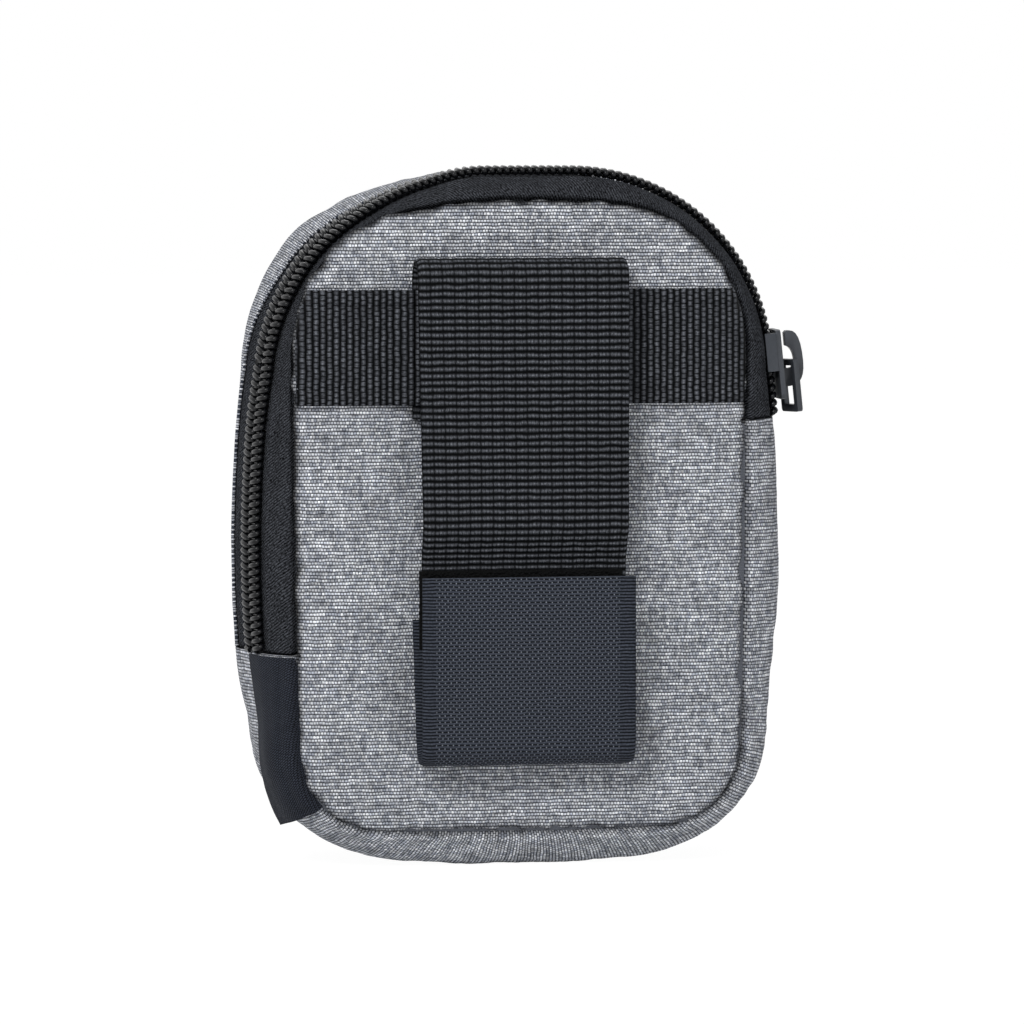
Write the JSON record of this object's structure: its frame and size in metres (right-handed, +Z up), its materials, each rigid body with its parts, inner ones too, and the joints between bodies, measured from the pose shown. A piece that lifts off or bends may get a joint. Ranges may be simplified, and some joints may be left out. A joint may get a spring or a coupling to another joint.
{
  "type": "belt pouch",
  "caption": "Small upright zipped pouch of grey cloth with a round-topped coil zip, a webbing belt loop closed by a hook tape flap and a woven side tab.",
  "frame": {"origin": "middle of the flat base that the pouch stands on", "axes": "+Z up along the pouch, -Y out of the back panel that carries the belt loop, +X to the right seen from behind"},
  "size_m": [0.1008, 0.0466, 0.1239],
  "materials": {
    "grey_cloth": "plain weave polyester in mixed grey yarns",
    "foam": "thin soft foam",
    "lining": "thin smooth lining cloth",
    "zip_tape": "black herringbone tape",
    "coil": "black nylon monofilament coil",
    "webbing": "black ribbed polypropylene webbing",
    "hook_tape": "charcoal woven back of hook tape",
    "loop_pile": "black looped pile",
    "tab": "charcoal twill label tape",
    "slider_metal": "satin black lacquered die-cast zinc"
  },
  "bodies": {
    "pouch": {"back_panel": "grey_cloth", "back_foam": "foam", "back_lining": "lining", "back_seam_binding": "zip_tape", "lower_gusset": "grey_cloth", "lower_gusset_lining": "lining", "front_panel_lower": "grey_cloth", "front_foam_lower": "foam", "front_lining_lower": "lining", "front_seam_binding": "zip_tape", "front_gusset_right": "grey_cloth", "front_gusset_left": "grey_cloth", "front_gusset_lining_right": "lining", "front_gusset_lining_left": "lining", "zip_tape_back": "zip_tape", "zip_tape_front_right": "zip_tape", "zip_tape_front_left": "zip_tape", "zip_coil_back": "coil", "zip_coil_front_right": "coil", "zip_coil_front_left": "coil", "cross_webbing": "webbing", "strap_inner_leg": "webbing", "hook_tape_inner_leg": "hook_tape", "side_tab": "tab"},
    "lid": {"lid_panel": "grey_cloth", "lid_foam": "foam", "lid_lining": "lining", "lid_seam_binding": "zip_tape", "lid_gusset": "grey_cloth", "lid_gusset_lining": "lining", "zip_tape_lid": "zip_tape", "zip_coil_lid": "coil"},
    "slider": {"zip_slider": "slider_metal"},
    "puller": {"zip_puller": "slider_metal"},
    "strap": {"belt_strap": "webbing", "strap_loop_patch": "loop_pile"},
    "flap": {"hook_flap": "hook_tape"}
  },
  "joints": [
    {"name": "lid_open", "type": "hinge", "parent": "pouch", "child": "lid", "pos_m": [0, 0.0201, 0.09329], "axis": [-0.9944, 0, -0.1057], "range_deg": [0, 80]},
    {"name": "slider_travel", "type": "hinge", "parent": "pouch", "child": "slider", "pos_m": [0.0101, -0.009, 0.0873], "axis": [0, -1, 0], "range_deg": [0, 84]},
    {"name": "puller_swing", "type": "hinge", "parent": "slider", "child": "puller", "pos_m": [0.04964, -0.009, 0.08863], "axis": [0, -1, 0], "range_deg": [0, 110]},
    {"name": "flap_peel", "type": "hinge", "parent": "pouch", "child": "flap", "pos_m": [0, -0.02227, 0.0186], "axis": [1, 0, 0], "range_deg": [0, 115]},
    {"name": "strap_lift", "type": "hinge", "parent": "pouch", "child": "strap", "pos_m": [-0.0013, -0.02233, 0.108], "axis": [-1, 0, 0], "range_deg": [0, 32.2]}
  ],
  "couplings": [
    {"joint": "strap_lift", "follows": "flap_peel", "ratio": 0.28}
  ]
}
